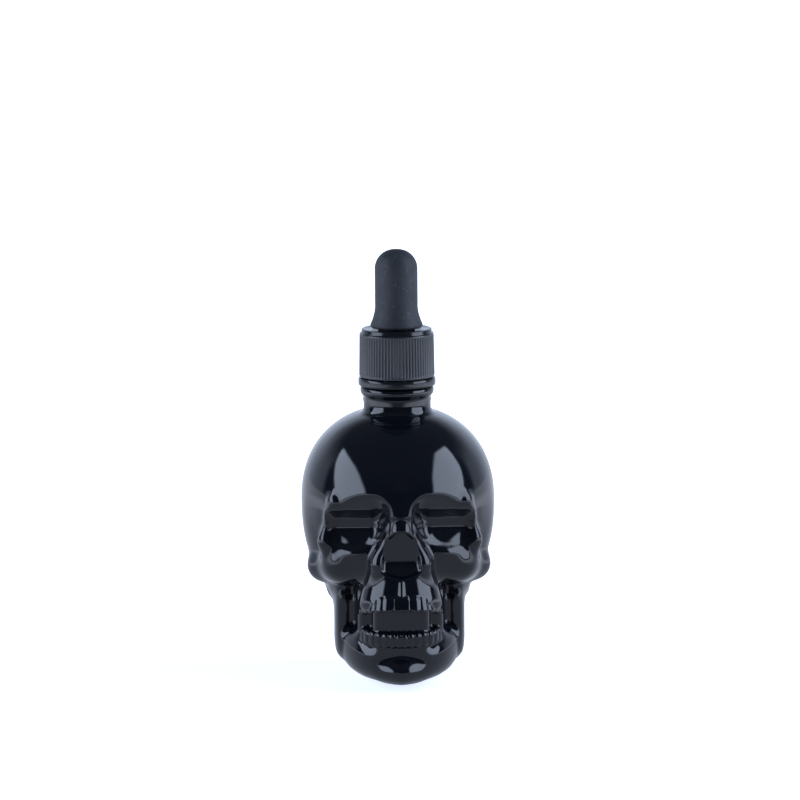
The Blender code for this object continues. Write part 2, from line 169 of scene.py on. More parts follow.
front = ramp(tree, away, FRONT_RUN, smooth=True)
spill = ramp(tree, aside, SPILL_RUN, smooth=True)
fading = ramp(tree, away, FADING_RUN, smooth=True)
level = reckon(tree, "ADD", spill, front)
level = reckon(tree, "MULTIPLY_ADD", level, fading, FAR_LEVEL)
rear = ramp(tree, reach.outputs["Y"], BEHIND_RUN, smooth=True)
level = add_node(tree, "ShaderNodeMix", {3: BEHIND_LEVEL}, {0: rear, 2: level}).outputs[0]
painted_table_light = add_node(tree, "ShaderNodeEmission", {"Color": linear(TABLE_GLOW)}, {"Strength": level})

chosen = add_node(tree, "ShaderNodeMixShader",
                  links={0: looked_at(tree), 1: painted_table_light.outputs[0], 2: both.outputs[0]})
add_node(tree, "ShaderNodeOutputMaterial", links={"Surface": chosen.outputs[0]})
table.data.materials.append(melamine)

# The room: white to the camera and through clear glass. To light and gloss it is white behind, and dark
# in front. A soft box stands on either side. Each is a shape of directions, which go by turn from the
# front and height in degrees: its corners, and how soft the edge is from each corner to the next. The
# edge and middle of the wall go by how far a direction points back, its top and the ceiling by how far up.
BOX_LEVEL = 4.4
BOX_COLOUR = "#d8e6ff"
SEEN_COLOUR = "#ffffff"
LEFT_BOX = ((-50.0, -40.0, 0.06), (-51.0, 14.0, 0.05), (-67.0, 33.0, 0.04), (-92.0, 40.5, 0.03),
            (-121.0, 38.0, 0.02), (-53.0, -40.0, 0.02))
RIGHT_BOX = ((73.0, -40.0, 0.02), (115.0, 46.0, 0.03), (90.0, 54.0, 0.05), (64.0, 43.5, 0.05),
             (53.5, 31.0, 0.05), (50.0, 15.0, 0.05), (52.0, -40.0, 0.05))
WALL_EDGE_RUN = (0.27, 0.42, 0.0, 0.58)
WALL_MIDDLE_RUN = (0.5, 1.0, 1.0, 2.0)
WALL_TOP_RUN = (0.25, 0.65, 1.0, 0.0)
CEILING_RUN = (0.2, 0.7, 0.05, 0.10)


def direction(turn, height):
    """Unit vector of a direction, from its turn and height in degrees."""
    turn = math.radians(turn)
    height = math.radians(height)
    return Vector((math.sin(turn) * math.cos(height), -math.cos(turn) * math.cos(height), math.sin(height)))


room = bpy.data.worlds.new("room")
bpy.context.scene.world = room
tree = bare_tree(room)
through = looked_at(tree)
facing = add_node(tree, "ShaderNodeTexCoord").outputs["Generated"]
shares = add_node(tree, "ShaderNodeSeparateXYZ", links={0: facing})
behind = ramp(tree, shares.outputs["Y"], WALL_EDGE_RUN, smooth=True)
middle = ramp(tree, shares.outputs["Y"], WALL_MIDDLE_RUN, smooth=True)
below = ramp(tree, shares.outputs["Z"], WALL_TOP_RUN, smooth=True)
wall = reckon(tree, "MULTIPLY", behind, middle)
wall = reckon(tree, "MULTIPLY", wall, below)
ceiling = ramp(tree, shares.outputs["Z"], CEILING_RUN)
level = reckon(tree, "ADD", ceiling, wall)
for corners in (LEFT_BOX, RIGHT_BOX):
    aims = [direction(turn, height) for turn, height, _ in corners]
    cloth = None
    for number, (_, _, softness) in enumerate(corners):
        inwards = aims[number].cross(aims[(number + 1) % len(aims)]).normalized()
        if inwards.dot(sum(aims, Vector())) < 0.0:
            inwards.negate()
        side = add_node(tree, "ShaderNodeVectorMath", {"operation": "DOT_PRODUCT", 1: inwards}, {0: facing})
        side = ramp(tree, side.outputs["Value"], (-softness, softness, 0.0, 1.0), smooth=True)
        cloth = side if cloth is None else reckon(tree, "MULTIPLY", cloth, side)
    level = reckon(tree, "MULTIPLY_ADD", cloth, BOX_LEVEL, level)
level = reckon(tree, "MAXIMUM", level, through)
hue = mix_colours(tree, through, BOX_COLOUR, SEEN_COLOUR)
sky = add_node(tree, "ShaderNodeBackground", links={"Color": hue, "Strength": level})
add_node(tree, "ShaderNodeOutputWorld", links={"Surface": sky.outputs[0]})


# Bottle: black soda-lime glass, blown in a mould as a skull with its mouth open. The neck stands on the
# crown, with a bead under the tear band and a screw thread under the cap. The walls are 4 mm thick.
# The skull is drawn in millimetres, with the face towards -Y and z counted up from the table.
MILLIMETRE = 0.001
SKULL_HEIGHT = 77.0
WIDEST_LEVEL = 51.0
GLASS_WALL = 4.0
FLOOR_THICKNESS = 5.5
SOCKET_WALL_LINE = 12.5
FOREHEAD_FOOT = 55.0
FOREHEAD_RISE = 9.0
FOREHEAD_HOLLOW = 15.0
BORE_FOOT = 69.5
BORE_RADIUS = 5.8
NECK_RADIUS = 9.6
NECK_STUB = 6.0
NECK_FILLET = 1.6
FOOT_ROUNDING = 1.2
BEAD_RADIUS = 10.5
BEAD_BOTTOM = 80.8
BEAD_TOP = 83.6
SEAM_LUG_HEIGHT = 79.8
SEAM_LUG_RISE = 0.25
SEAM_LUG_HALF_WIDTH = 0.4
SEAM_LUG_HALF_LENGTH = 0.5
BEAD_SEAM_RISE = 0.07
BEAD_SEAM_HALF_WIDTH = 0.2
FINISH_RADIUS = 8.2
THREAD_RADIUS = 8.9
THREAD_PITCH = 3.0
THREAD_HALF_WIDTH = 0.85
THREAD_FLANK = 0.5
THREAD_FOOT = 1.2
THREAD_HEAD = 1.6
THREAD_FADE = 0.8
LIP_TOP = 96.8
LIP_ROUNDING = 0.8

# Points that two rods of the face share, and the tooth rows: half width, reach and front of the arch, and
# the widths of the teeth of one side, from the middle to the back
CHEEK_CORNER = (20.4, -18.0, 42.0)
CHEEK_ARCH_BEND = (22.0, -7.0, 32.8)
NOSE_WING = (5.7, -26.7, 37.0)
UPPER_ARCH = (11.0, 15.5, 32.3)
UPPER_SLOPE = 0.24
UPPER_TEETH = (2.3, 2.9, 2.7, 2.7, 2.7, 2.8, 2.8)
LOWER_ARCH = (11.3, 14.5, 29.7)
LOWER_TEETH = (1.6, 1.8, 2.0, 2.2, 2.3, 2.6, 2.6)


def smooth_join(first, second, blend):
    """Union of two distance fields with a fillet."""
    mix = np.clip(0.5 + 0.5 * (second - first) / blend, 0.0, 1.0)
    return second + (first - second) * mix - blend * mix * (1.0 - mix)


def smooth_cut(solid, hollow, blend):
    """Solid less hollow, with a rounded rim."""
    return -smooth_join(-solid, hollow, blend)


def smooth_meet(first, second, blend):
    """Intersection of two distance fields with a rounded edge."""
    return -smooth_join(-first, -second, blend)


def egg(x, y, z, centre, radii, plan=2.0, upright=2.0):
    """Superellipsoid: plan squares its outline from above, upright its outline from the side."""
    across = np.abs((x - centre[0]) / radii[0])
    along = np.abs((y - centre[1]) / radii[1])
    up = np.abs((z - centre[2]) / radii[2])
    flat = (across ** plan + along ** plan) ** (1.0 / plan)
    reach = (flat ** upright + up ** upright) ** (1.0 / upright)
    least = 1.0e-6
    reach = np.maximum(reach, least)
    flat = np.maximum(flat, least)
    slope_flat = (flat / reach) ** (upright - 1.0)
    slope_up = (up / reach) ** (upright - 1.0) / radii[2]
    slope_x = slope_flat * (across / flat) ** (plan - 1.0) / radii[0]
    slope_y = slope_flat * (along / flat) ** (plan - 1.0) / radii[1]
    slope = np.sqrt(slope_x ** 2 + slope_y ** 2 + slope_up ** 2)
    return (reach - 1.0) / np.maximum(slope, least)


def bar(x, y, z, start, end, start_radius, end_radius):
    """Tapered rod with round ends."""
    run = np.subtract(end, start)
    share = (x - start[0]) * run[0] + (y - start[1]) * run[1] + (z - start[2]) * run[2]
    share = np.clip(share / np.dot(run, run), 0.0, 1.0)
    away = np.sqrt((x - start[0] - share * run[0]) ** 2 + (y - start[1] - share * run[1]) ** 2
                   + (z - start[2] - share * run[2]) ** 2)
    return away - (start_radius + (end_radius - start_radius) * share)


def brain_case(side, y, z):
    """The vault: low and round above its widest level, long and squarer below, and drawn in at the face."""
    upper = np.where(z > WIDEST_LEVEL, 26.4, 32.0)
    narrowing = 1.0 - 0.12 * np.clip(-y / 32.0, 0.0, 1.0) ** 2
    across = side / narrowing
    stretched = WIDEST_LEVEL + (z - WIDEST_LEVEL) * 30.0 / upper
    roundness = np.where(z > WIDEST_LEVEL, 2.22, 2.4)
    receding = np.clip((WIDEST_LEVEL - z) / 13.0, 0.0, 1.0) * np.clip(-y / 12.0, 0.0, 1.0)
    along = y * (1.0 + 0.28 * receding)
    return egg(across, along, stretched, (0.0, 1.4, WIDEST_LEVEL), (27.7, 32.6, 30.0), 2.15, roundness)


def orbit(side, y, z):
    """Eye socket: a vault under the brow, a step over a crease, and a wall that falls forwards below it."""
    depth = -y
    deepest = 23.2
    back = deepest - 0.37 * np.clip(side - 8.5, 0.0, 20.0)
    crease = 46.5 - 0.158 * (deepest - back)
    above = z - crease
    step = np.clip((above - 2.2) / 4.4, 0.0, 1.0)
    brow_line = 58.4 - 0.066 * (side - 11.5) ** 2
    vault = np.clip((above - 5.0) / np.maximum(brow_line - crease - 5.0, 1.0), 0.0, 1.6)
    roof = back + 0.08 * above + 2.7 * step * step * (3.0 - 2.0 * step) + 3.3 * vault ** 1.2
    upper_wall = (roof - depth) * 0.75
    lower_wall = (back - 0.35 * above - depth) * 0.9
    groove = smooth_meet(upper_wall, lower_wall, 0.3)
    inner_side = egg(side, y * 0.0, z, (14.0, 0.0, 50.3), (10.9, 1.0, 9.4), 2.0, 2.2)
    slant = 0.52 * np.clip((z - 40.0) / 8.0, 0.25, 1.0) * np.clip((14.0 - side) / 6.0, 0.0, 1.0)
    inner_side = inner_side + slant * np.clip(30.0 - depth, 0.0, 8.0)
    outer_side = (side - 20.8 + 0.8 * np.clip(21.0 - depth, 0.0, 5.0)) * 0.8
    outline = smooth_meet(inner_side, outer_side, 1.0)
    return smooth_meet(outline, groove, 1.3)


def nasal_opening(side, y, z):
    """Nose hole: a shallow pear with a hanging roof and a floor that falls forwards."""
    depth = -y
    fold_depth = 27.6
    fold_height = 37.2
    rise = np.clip((z - 38.0) / 9.0, 0.0, 1.0)
    drop = np.clip((38.0 - z) / 4.6, 0.0, 1.2)
    half = 5.3 * (1.0 - rise ** 1.7) ** 0.6 * (1.0 - drop ** 5)
    outline = (side - half) * 0.8 + 1.5 * np.clip(z - 46.4, 0.0, 3.0)
    roof = (fold_depth + 0.16 * (z - fold_height) - depth) * 0.9
    floor = (fold_depth + 0.55 * (fold_height - z) - depth) * 0.85
    hollow = smooth_meet(roof, floor, 1.0)
    return smooth_meet(outline + 0.35 * np.clip(29.0 - depth, 0.0, 4.0), hollow, 1.0)


def tooth_arch(half_width, reach, front):
    """Points along one side of a tooth row, from the middle back, with their distance along it."""
    turn = np.linspace(0.0, math.pi / 2, 60)
    across = half_width * np.sin(turn) ** 0.9
    depth = front - reach + reach * np.cos(turn) ** 0.9
    step = np.hypot(np.diff(across), np.diff(depth))
    return across, depth, np.concatenate(([0.0], np.cumsum(step)))


def teeth(side, y, z, arch, widths, edge, slope, height, lean, thick, tilt):
    """One side of a tooth row. The edge is the height of the biting line at the front."""
    across, depth, along = arch
    far_off = 99.0
    nearby = 0.3
    row = np.full(np.shape(z), far_off)
    place = 0.0
    for width in widths:
        middle = place + width / 2
        place += width
        centre_x = np.interp(middle, along, across)
        centre_y = -np.interp(middle, along, depth)
        ahead_x = np.interp(middle + nearby, along, across) - np.interp(middle - nearby, along, across)
        ahead_y = -np.interp(middle + nearby, along, depth) + np.interp(middle - nearby, along, depth)
        length = math.hypot(ahead_x, ahead_y)
        ahead_x, ahead_y = ahead_x / length, ahead_y / length
        bite = edge - slope * (depth[0] + centre_y)
        centre_z = bite + lean * height / 2
        local_u = (side - centre_x) * ahead_x + (y - centre_y) * ahead_y
        local_v = (side - centre_x) * ahead_y - (y - centre_y) * ahead_x + tilt * (z - centre_z)
        size = (width * 0.5, thick, height / 2)
        row = np.minimum(row, egg(local_u, local_v, z, (0.0, 0.0, centre_z), size, 3.4, 4.5))
    return row


def skull_form(x, y, z):
    """Distance to the skull's outer surface. The two halves are alike."""
    side = np.sqrt(x * x + 0.02)
    # Brain case with hollow temples, the base under it, and the knob behind the ear
    form = brain_case(side, y, z)
    form = smooth_cut(form, egg(side, y, z, (36.0, -20.5, 47.0), (9.5, 13.0, 13.0)), 5.0)
    form = smooth_join(form, egg(x, y, z, (0.0, 3.0, 16.5), (17.6, 21.0, 18.6), 2.3, 2.4), 9.0)
    form = smooth_join(form, egg(x, y, z, (0.0, -0.5, 39.5), (21.0, 23.5, 10.5), 2.5, 4.0), 4.0)
    form = smooth_join(form, bar(side, y, z, (18.2, 8.0, 30.0), (17.6, 5.0, 24.0), 4.4, 2.8), 2.0)
    # Outer rim of the socket, cheekbone, and the open side of the mouth
    form = smooth_join(form, bar(side, y, z, (18.4, -21.4, 54.0), CHEEK_CORNER, 2.0, 2.0), 2.0)
    form = smooth_join(form, bar(side, y, z, CHEEK_CORNER, (18.0, -17.0, 35.0), 2.0, 3.0), 4.0)
    form = smooth_cut(form, egg(side, y, z, (15.0, -22.0, 20.0), (9.0, 11.0, 11.0), 2.6, 3.4), 1.0)
    # Root of the nose, cheeks and upper jaw, which flares and comes forward towards its teeth
    form = smooth_join(form, egg(x, y, z, (0.0, -21.0, 44.0), (6.2, 10.0, 9.5)), 3.0)
    cheek = egg(side, y + 0.35 * (z - 36.0), z, (9.0, -7.0, 36.2), (12.0, 17.2, 6.8), 2.4, 3.4)
    form = smooth_join(form, cheek, 3.0)
    flare = (11.2 - 0.22 * (z - 27.0)) / 10.0
    sloped = y - 0.13 * (z - 28.0)
    level = z + 0.24 * (y + 32.0)
    maxilla = egg(side / flare, sloped, level, (0.0, -22.0, 34.5), (10.2, 9.9, 9.9), 2.0, 8.0)
    form = smooth_join(form, maxilla, 2.0)
    # Bridge of the nose, the bones beside it, and the ridges down to the eye teeth
    form = smooth_join(form, bar(x, y, z, (0.0, -27.4, 57.0), (0.0, -30.0, 43.0), 3.2, 3.2), 1.5)
    form = smooth_join(form, bar(side, y, z, (2.0, -26.8, 46.5), NOSE_WING, 2.2, 2.5), 1.2)
    form = smooth_join(form, bar(side, y, z, NOSE_WING, (6.6, -24.4, 29.0), 2.4, 0.8), 3.0)
    # Sockets, nose hole, and the mould's seam as a low keel under the nose
    form = smooth_cut(form, egg(side, y, z, (9.4, -34.2, 52.6), (5.8, 6.6, 4.8)), 1.4)
    form = smooth_cut(form, orbit(side, y, z), 0.9)
    form = smooth_cut(form, nasal_opening(side, y, z), 1.1)
    keel = (0.8 * side - y - 32.9 - 0.18 * (28.0 - z)) * 0.75
    keel = smooth_meet(smooth_meet(keel, y + 25.0, 1.0), np.abs(z - 30.4) - 3.0, 1.0)
    form = smooth_join(form, keel, 0.6)
    # Cheek arch from the cheekbone to the ear
    form = smooth_join(form, bar(side, y, z, (16.6, -17.6, 35.0), CHEEK_ARCH_BEND, 4.0, 3.1), 4.0)
    form = smooth_join(form, bar(side, y, z, CHEEK_ARCH_BEND, (21.9, 9.0, 34.0), 3.1, 1.6), 3.5)
    # Inside of the mouth: its middle, the wall beside it, and the rising branch of the jaw
    form = smooth_join(form, egg(side, y, z, (0.0, -14.0, 19.0), (8.3, 14.0, 13.0), 7.0, 6.0), 0.6)
    form = smooth_join(form, egg(side, y, z, (9.6, -8.0, 20.0), (3.4, 13.0, 10.0), 3.0, 5.0), 0.8)
    form = smooth_join(form, egg(side, y, z, (16.0, -4.6, 19.0), (2.7, 8.4, 12.5), 2.6, 4.0), 1.0)
    # Lower jaw, the gum that carries its teeth, the hollow under them, and the chin
    squat = np.where(z > 8.8, 8.8 + (z - 8.8) * 1.2, z) + 0.10 * (-30.0 - y)
    jaw = egg(x, y, squat, (0.0, 0.0, 8.8), (17.6, 29.8, 9.2), 2.3, 3.0)
    form = smooth_join(form, smooth_meet(jaw, y - 1.0, 5.0), 2.0)
    form = smooth_join(form, egg(x, y, z, (0.0, -16.0, 12.8), (11.3, 13.9, 4.1), 2.3, 5.0), 0.6)
    form = smooth_cut(form, bar(x, y, z, (-9.0, -45.0, 9.6), (9.0, -45.0, 9.6), 16.4, 16.4), 1.5)
    form = smooth_join(form, egg(x, y, z, (0.0, -24.2, 6.2), (9.0, 8.0, 4.4), 1.5, 2.2), 1.2)
    # Both rows of teeth, worked out only where the mouth is
    mouth = (y < -6.0) & (z > 8.0) & (z < 34.0)
    near = [value[mouth] for value in (side, y, z)]
    upper = teeth(*near, tooth_arch(*UPPER_ARCH), UPPER_TEETH, 23.4, UPPER_SLOPE, 5.2, 1.0, 0.9, 0.2)
    biting_plane = 24.2 - UPPER_SLOPE * (UPPER_ARCH[2] + near[1]) - near[2]
    upper = smooth_meet(upper, biting_plane, 0.4)
    lower = teeth(*near, tooth_arch(*LOWER_ARCH), LOWER_TEETH, 17.6, 0.0, 4.2, -1.0, 1.15, 0.0)
    form[mouth] = smooth_join(smooth_join(form[mouth], upper, 0.3), lower, 0.3)
    return form


def seam_lug(y, z):
    """Rise of the small lug that the mould's halves leave on either side of the neck."""
    off = (y / SEAM_LUG_HALF_WIDTH) ** 2
    return SEAM_LUG_RISE * np.exp(-off - ((z - SEAM_LUG_HEIGHT) / SEAM_LUG_HALF_LENGTH) ** 2)


def outer_glass(x, y, z):
    """Distance to the outside of the glass: the skull with the foot of its neck, ground off at the table."""
    neck = np.maximum(np.hypot(x, y) - NECK_RADIUS - seam_lug(y, z), np.abs(z - SKULL_HEIGHT) - NECK_STUB)
    form = smooth_join(skull_form(x, y, z), neck, NECK_FILLET)
    return smooth_meet(form, -z, FOOT_ROUNDING)


def inner_glass(x, y, z):
    """Distance to the inside of the glass. It stays behind the eye sockets, and comes forward above them."""
    inside = skull_form(x, y, z) + GLASS_WALL
    forehead = np.clip((z - FOREHEAD_FOOT) / FOREHEAD_RISE, 0.0, 1.0) * FOREHEAD_HOLLOW
    inside = smooth_meet(inside, -y - SOCKET_WALL_LINE - forehead, 3.0)
    return smooth_meet(inside, FLOOR_THICKNESS - z, 2.0)


def draw_in(form, start, aim, longest):
    """Where each ray meets the form's surface, coming in from outside."""
    nearest = 0.5
    caution = 0.55
    count = len(start)
    clear = np.full(count, longest)
    met = clear.copy()
    moving = np.arange(count)
    while len(moving):
        reach = met[moving]
        gap = form(*(start[moving] + aim[moving] * reach[:, None]).T)
        out = (gap > 0.0) & (reach > nearest)
        moving = moving[out]
        clear[moving] = met[moving]
        met[moving] -= np.clip(gap[out] * caution, 0.08, 4.0)
    for _ in range(8):
        middle = (clear + met) / 2
        inside = form(*(start + aim * middle[:, None]).T) < 0.0
        met = np.where(inside, middle, met)
        clear = np.where(inside, clear, middle)
    return start + aim * ((clear + met) / 2)[:, None]


def slope_of(form, spots):
    """Unit normals of the form's surface, and the gap to it, at the given spots."""
    step = 0.02
    gap = form(*spots.T)
    slope = np.empty_like(spots)
    for axis in range(3):
        moved = spots.copy()
        moved[:, axis] += step
        slope[:, axis] = (form(*moved.T) - gap) / step
    size = np.maximum(np.linalg.norm(slope, axis=1), 0.2)
    return slope / size[:, None], gap / size


# Rings of the glass from the middle of the inner floor, up the inside, over the lip and down the outside
COLUMNS = 240
FACE_CROWDING = 0.6
LOW_START, HIGH_START = 9.0, 60.0
INNER_LOW, INNER_HIGH = 14.0, 58.0
INNER_FLOOR_ROWS, INNER_ROWS, INNER_SHOULDER_ROWS, BORE_ROWS = 10, 22, 8, 10
THREAD_ROWS, SHOULDER_ROWS, FACE_ROWS, FOOT_ROWS = 60, 28, 190, 24

inner_rise = math.atan2(BORE_FOOT - INNER_HIGH, BORE_RADIUS)
outer_rise = math.atan2(SKULL_HEIGHT + 2.0 - HIGH_START, NECK_RADIUS)
lip_foot = LIP_TOP - LIP_ROUNDING
rows = []
for step in range(INNER_FLOOR_ROWS):
    rows.append(("inner", INNER_LOW, -math.pi / 2 * (1 - step / INNER_FLOOR_ROWS)))
for step in range(INNER_ROWS):
    rows.append(("inner", INNER_LOW + (INNER_HIGH - INNER_LOW) * step / INNER_ROWS, 0.0))
for step in range(INNER_SHOULDER_ROWS):
    rows.append(("inner", INNER_HIGH, inner_rise * step / INNER_SHOULDER_ROWS))
for height in np.linspace(BORE_FOOT, lip_foot, BORE_ROWS):
    rows.append(("turned", BORE_RADIUS, height))
for turn in np.linspace(0.2, 0.9, 4) * math.pi / 2:
    inset = LIP_ROUNDING * (1 - math.cos(turn))
    rows.append(("turned", BORE_RADIUS + inset, LIP_TOP - LIP_ROUNDING * (1 - math.sin(turn))))
for turn in np.linspace(0.9, 0.0, 5) * math.pi / 2:
    inset = LIP_ROUNDING * (1 - math.cos(turn))
    rows.append(("turned", FINISH_RADIUS - inset, LIP_TOP - LIP_ROUNDING * (1 - math.sin(turn))))
for height in np.linspace(lip_foot - 0.1, BEAD_TOP + 0.15, THREAD_ROWS):
    rows.append(("thread", FINISH_RADIUS, height))
bead_side = [(FINISH_RADIUS + 0.1, BEAD_TOP), (BEAD_RADIUS - 0.5, BEAD_TOP),
             (BEAD_RADIUS - 0.15, BEAD_TOP - 0.15), (BEAD_RADIUS, BEAD_TOP - 0.5),
             (BEAD_RADIUS, BEAD_BOTTOM + 1.5), (BEAD_RADIUS - 0.1, BEAD_BOTTOM + 1.0),
             (BEAD_RADIUS - 0.4, BEAD_BOTTOM + 0.5), (NECK_RADIUS + 0.1, BEAD_BOTTOM),
             (NECK_RADIUS, BEAD_BOTTOM - 0.4), (NECK_RADIUS, SKULL_HEIGHT + 2.9)]
rows += [("turned", radius, height) for radius, height in bead_side]
for step in range(SHOULDER_ROWS):
    rows.append(("outer", HIGH_START, outer_rise * (1 - step / SHOULDER_ROWS)))
for step in range(FACE_ROWS):
    rows.append(("outer", HIGH_START + (LOW_START - HIGH_START) * step / FACE_ROWS, 0.0))
for step in range(FOOT_ROWS + 1):
    rows.append(("outer", LOW_START, -math.pi / 2 * step / FOOT_ROWS))

# A ball with as many rings gives the mesh. Each of its points goes to its place on the glass: along a ray
# to the inside or the outside of the skull, or turned about the neck, with the thread's ridge on it.
bpy.ops.mesh.primitive_uv_sphere_add(segments=COLUMNS, ring_count=len(rows) - 1, radius=1.0)
glass = bpy.context.object
glass.name = "skull_glass"
ball = np.empty(len(glass.data.vertices) * 3)
glass.data.vertices.foreach_get("co", ball)
ball = ball.reshape(-1, 3)
row_of = np.rint(np.arccos(np.clip(ball[:, 2], -1.0, 1.0)) / math.pi * (len(rows) - 1)).astype(int)
azimuth = np.arctan2(ball[:, 0], -ball[:, 1])
azimuth -= FACE_CROWDING * np.sin(azimuth)
kinds = np.array([row[0] for row in rows])[row_of]
first = np.array([row[1] for row in rows])[row_of]
second = np.array([row[2] for row in rows])[row_of]
around = np.stack((np.sin(azimuth), -np.cos(azimuth)), axis=1)
spots = np.empty_like(ball)
for kind, form, longest in (("inner", inner_glass, 34.0), ("outer", outer_glass, 46.0)):
    chosen = kinds == kind
    climb = second[chosen]
    aim = np.column_stack((around[chosen] * np.cos(climb)[:, None], np.sin(climb)))
    start = np.column_stack((np.zeros((chosen.sum(), 2)), first[chosen]))
    spots[chosen] = draw_in(form, start, aim, longest)

chosen = kinds == "turned"
outside = (first[chosen] > NECK_RADIUS - 0.1) & (second[chosen] < BEAD_TOP)
lug = seam_lug(around[chosen, 1] * NECK_RADIUS, second[chosen])
seam = BEAD_SEAM_RISE * np.exp(-(np.sin(azimuth[chosen]) * BEAD_RADIUS / BEAD_SEAM_HALF_WIDTH) ** 2)
radius = first[chosen] + outside * (lug + seam)
spots[chosen] = np.column_stack((around[chosen] * radius[:, None], second[chosen]))

chosen = kinds == "thread"
height = second[chosen]
lead = (height - BEAD_TOP) / THREAD_PITCH - azimuth[chosen] / (2 * math.pi)
ridge = np.abs(lead - np.rint(lead)) * THREAD_PITCH
ridge = np.clip((THREAD_HALF_WIDTH - ridge) / THREAD_FLANK, 0.0, 1.0)
fade = np.clip((height - BEAD_TOP - THREAD_FOOT) / THREAD_FADE, 0.0, 1.0)
fade = fade * np.clip((LIP_TOP - THREAD_HEAD - height) / THREAD_FADE, 0.0, 1.0)
radius = FINISH_RADIUS + (THREAD_RADIUS - FINISH_RADIUS) * fade * ridge * ridge * (3 - 2 * ridge)
spots[chosen] = np.column_stack((around[chosen] * radius[:, None], height))

# The skull's points spread evenly over its surface, and each settles on it
SETTLING_ROUNDS = 6
SETTLING_PULL = 0.5
SETTLING_REACH = 0.3
edges = np.empty(len(glass.data.edges) * 2, dtype=int)
glass.data.edges.foreach_get("vertices", edges)
edges = edges.reshape(-1, 2)
free = (kinds == "outer") & (second < outer_rise - 0.2)
links = edges[free[edges[:, 0]] | free[edges[:, 1]]]
for _ in range(SETTLING_ROUNDS):
    total = np.zeros_like(spots)
    count = np.zeros(len(spots))
    for one, other in ((0, 1), (1, 0)):
        np.add.at(total, links[:, one], spots[links[:, other]])
        np.add.at(count, links[:, one], 1)
    here = spots[free]
    normal, gap = slope_of(outer_glass, here)
    pull = total[free] / count[free][:, None] - here
    pull -= (pull * normal).sum(axis=1)[:, None] * normal
    settled = normal * np.clip(gap, -SETTLING_REACH, SETTLING_REACH)[:, None]
    spots[free] = here + SETTLING_PULL * pull - settled
normal, gap = slope_of(outer_glass, spots[free])
spots[free] -= normal * np.clip(gap, -SETTLING_REACH, SETTLING_REACH)[:, None]
glass.data.vertices.foreach_set("co", (spots * MILLIMETRE).ravel())
glass.data.update()
bpy.ops.object.shade_smooth()


def noise(tree, spot, size, detail):
    """Cloudy noise with grains of this size in metres."""
    settings = {"Scale": 1 / size, "Detail": detail}
    return add_node(tree, "ShaderNodeTexNoise", settings, {"Vector": spot}).outputs[0]


def relief(tree, height, depth, under=None):
    """Bumps of this depth in metres, over others if these are given."""
    links = {"Height": height} if under is None else {"Height": height, "Normal": under}
    return add_node(tree, "ShaderNodeBump", {"Strength": 1.0, "Distance": depth}, links).outputs[0]


def coat(piece, finish, settings, links):
    """Ends a finish with its shader, and puts it on the piece."""
    shader = add_node(finish.node_tree, "ShaderNodeBsdfPrincipled", settings, links)
    add_node(finish.node_tree, "ShaderNodeOutputMaterial", links={"Surface": shader.outputs[0]})
    piece.data.materials.append(finish)


# Fire-polished black glass mirrors the room. The cold mould leaves waves some 7 mm long and a peel of
# 0.9 mm under the gloss, and hands dull it a little in patches
GLASS_COLOUR = "#0a0e16"
GLASS_WAVE = 0.007
GLASS_WAVE_DEPTH = 0.00006
GLASS_PEEL = 0.0009
GLASS_PEEL_DEPTH = 0.000002
GLASS_PATCH = 0.011
GLASS_GLOSS_RUN = (0.35, 0.7, 0.05, 0.09)
black_glass = bpy.data.materials.new("black_soda_lime_glass")
tree = bare_tree(black_glass)
spot = add_node(tree, "ShaderNodeTexCoord").outputs["Object"]
wavy = relief(tree, noise(tree, spot, GLASS_WAVE, 1.0), GLASS_WAVE_DEPTH)
peeled = relief(tree, noise(tree, spot, GLASS_PEEL, 0.0), GLASS_PEEL_DEPTH, wavy)
gloss = ramp(tree, noise(tree, spot, GLASS_PATCH, 3.0), GLASS_GLOSS_RUN)
coat(glass, black_glass, {"Base Color": linear(GLASS_COLOUR), "IOR": 1.52},
     {"Roughness": gloss, "Normal": peeled})
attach(glass, "bottle")
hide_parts("bottle")


# Tamper ring: the plain band that stays on the bead when the cap is first turned. Moulded in one shot with
# the cap from black polypropylene, it is held under the skirt by bridges, of which the torn nibs are left.
RING_PROFILE = ((9.3, 83.9), (10.62, 83.9), (10.88, 83.98), (11.02, 84.2), (11.05, 84.5), (11.05, 85.5),
                (11.02, 85.85), (10.88, 86.1), (10.62, 86.2), (9.3, 86.2), (9.3, 83.9))
RING_SIDES = 144
NIBS = 12
FIRST_NIB = 0.35
NIB_SIZE = (0.5, 0.7, 0.3)
NIB_BEVEL = 0.08
NIB_RADIUS = 10.2
NIB_HEIGHT = 86.2


def lathe(name, profile, sides):
    """A piece turned about the neck's axis, from points of radius and height in millimetres."""
    radius, height = profile[0]
    bpy.ops.mesh.primitive_circle_add(
        vertices=sides, radius=radius * MILLIMETRE, location=(0.0, 0.0, height * MILLIMETRE))
    piece = bpy.context.object
    piece.name = name
    bpy.ops.object.transform_apply(location=True, rotation=True, scale=True)
    bpy.ops.object.mode_set(mode="EDIT")
    bpy.ops.mesh.select_all(action="SELECT")
    for (last_radius, last_height), (radius, height) in zip(profile, profile[1:]):
        climb = (0.0, 0.0, (height - last_height) * MILLIMETRE)
        bpy.ops.mesh.extrude_edges_move(TRANSFORM_OT_translate={"value": climb})
        growth = radius / last_radius
        centre = (0.0, 0.0, height * MILLIMETRE)
        bpy.ops.transform.resize(value=(growth, growth, 1.0), center_override=centre)
    bpy.ops.mesh.select_all(action="SELECT")
    bpy.ops.mesh.remove_doubles(threshold=0.000005)
    bpy.ops.mesh.normals_make_consistent(inside=False)
    bpy.ops.object.mode_set(mode="OBJECT")
    return piece


